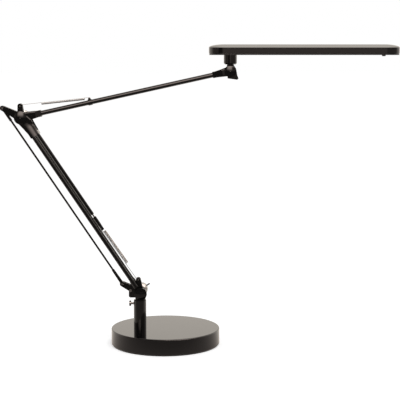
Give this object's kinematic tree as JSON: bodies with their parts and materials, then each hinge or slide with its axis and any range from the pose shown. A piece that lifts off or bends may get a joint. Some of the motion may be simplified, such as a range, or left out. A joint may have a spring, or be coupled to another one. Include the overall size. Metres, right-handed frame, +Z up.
{
  "type": "led desk lamp",
  "caption": "Desk lamp with a weighted round base, a swivelling post, a balanced two-part arm kept level by a parallel link, and a long flat LED light head.",
  "frame": {"origin": "middle of the underside of the base pad, on the surface that the lamp stands on", "axes": "+X to the right, towards the light head; +Y to the back, towards the clamp knobs; +Z up"},
  "size_m": [0.6858, 0.19, 0.5229],
  "materials": {
    "gloss_black": "gloss",
    "bezel_black": "satin",
    "black_enamel": "gloss",
    "bright_zinc": "satin",
    "spring_steel": "polished",
    "satin_silver": "satin",
    "ballast_iron": "matte",
    "pad_rubber": "matte",
    "dark_plastic": "matte",
    "diffuser_white": "satin",
    "board_white": "satin",
    "led_yellow": "satin",
    "board_green": "satin"
  },
  "bodies": {
    "base": {"base_shell": "gloss_black", "base_ballast": "ballast_iron", "base_pad": "pad_rubber", "base_screws": "bright_zinc", "power_inlet": "dark_plastic", "post": "black_enamel", "post_nut": "bright_zinc"},
    "wing_screw": {"wing_screw": "bright_zinc"},
    "swivel": {"swivel_knuckle": "black_enamel", "swivel_plate_front": "black_enamel", "swivel_plate_rear": "black_enamel", "heel_screw": "bright_zinc", "lower_link_pin": "bright_zinc", "lower_spring_pin": "bright_zinc", "lower_pivot_bolt": "bright_zinc", "lower_pivot_cap": "gloss_black"},
    "lower_knob": {"lower_clamp_knob": "satin_silver", "tommy_bar": "black_enamel"},
    "lower_arm": {"lower_arm_eye_front": "black_enamel", "lower_arm_eye_rear": "black_enamel", "lower_arm_tube_front": "black_enamel", "lower_arm_tube_rear": "black_enamel", "elbow_fork": "black_enamel", "spring_sleeve": "black_enamel", "spring_rod": "bright_zinc", "spring_anchor": "black_enamel", "anchor_pin": "bright_zinc", "lower_spring": "spring_steel", "elbow_pivot_bolt": "bright_zinc", "elbow_cap": "gloss_black"},
    "link": {"link_rod": "black_enamel", "link_lower_end": "black_enamel", "link_upper_end": "black_enamel"},
    "elbow": {"elbow_plate_front": "black_enamel", "elbow_plate_rear": "black_enamel", "elbow_spacer": "bright_zinc", "elbow_link_pin": "bright_zinc", "elbow_spring_pin": "bright_zinc"},
    "elbow_knob": {"elbow_clamp_knob": "satin_silver"},
    "upper_arm": {"upper_arm_fork": "black_enamel", "upper_arm_tube": "black_enamel", "head_fork": "black_enamel", "spring_clip": "black_enamel", "clip_pin": "bright_zinc", "upper_spring": "spring_steel", "head_pivot_bolt": "bright_zinc", "head_pivot_cap": "gloss_black"},
    "head_knob": {"head_clamp_knob": "gloss_black"},
    "head_knuckle": {"head_knuckle": "black_enamel", "swivel_retainer": "bright_zinc"},
    "head": {"head_collar": "gloss_black", "head_housing": "gloss_black", "head_bezel": "bezel_black", "diffuser": "diffuser_white", "led_board": "board_white", "leds": "led_yellow", "driver_board": "board_green", "head_screws": "bright_zinc", "push_switch": "dark_plastic"},
    "button": {"button": "gloss_black"}
  },
  "joints": [
    {"name": "base_swivel", "type": "hinge", "parent": "base", "child": "swivel", "pos_m": [-0.0447, 0, 0.0789], "axis": [0, 0, 1], "range_deg": [-170, 170]},
    {"name": "wing_screw_turn", "type": "hinge", "parent": "base", "child": "wing_screw", "pos_m": [-0.0447, 0, 0.0718], "axis": [1, 0, 0], "continuous": true},
    {"name": "lower_arm_tilt", "type": "hinge", "parent": "swivel", "child": "lower_arm", "pos_m": [-0.0433, 0, 0.0904], "axis": [0, 1, 0], "range_deg": [-14, 38], "deforming": ["lower_spring"]},
    {"name": "link_swing", "type": "hinge", "parent": "swivel", "child": "link", "pos_m": [-0.07538, 0, 0.10674], "axis": [0, 1, 0], "range_deg": [-14, 38]},
    {"name": "lower_knob_turn", "type": "hinge", "parent": "swivel", "child": "lower_knob", "pos_m": [-0.0433, 0, 0.0904], "axis": [0, 1, 0], "continuous": true},
    {"name": "elbow_level", "type": "hinge", "parent": "lower_arm", "child": "elbow", "pos_m": [-0.2475, 0, 0.39775], "axis": [0, 1, 0], "range_deg": [-38, 14]},
    {"name": "elbow_knob_turn", "type": "hinge", "parent": "lower_arm", "child": "elbow_knob", "pos_m": [-0.2475, 0, 0.39775], "axis": [0, 1, 0], "continuous": true},
    {"name": "upper_arm_tilt", "type": "hinge", "parent": "elbow", "child": "upper_arm", "pos_m": [-0.2475, 0, 0.39775], "axis": [0, 1, 0], "range_deg": [-45, 20], "deforming": ["upper_spring"]},
    {"name": "head_tilt", "type": "hinge", "parent": "upper_arm", "child": "head_knuckle", "pos_m": [0.11281, 0, 0.47736], "axis": [0, 1, 0], "range_deg": [-30, 60]},
    {"name": "head_knob_turn", "type": "hinge", "parent": "upper_arm", "child": "head_knob", "pos_m": [0.11281, 0, 0.47736], "axis": [0, 1, 0], "continuous": true},
    {"name": "head_swivel", "type": "hinge", "parent": "head_knuckle", "child": "head", "pos_m": [0.11281, 0, 0.48886], "axis": [0, 0, 1], "range_deg": [-90, 90]},
    {"name": "button_press", "type": "slide", "parent": "head", "child": "button", "axis": [0, 0, 1], "range_m": [0, 0.001], "stiffness_N_per_m": 300, "springref_m": -0.002}
  ],
  "couplings": [
    {"joint": "link_swing", "follows": "lower_arm_tilt", "ratio": 1},
    {"joint": "elbow_level", "follows": "lower_arm_tilt", "ratio": -1}
  ]
}
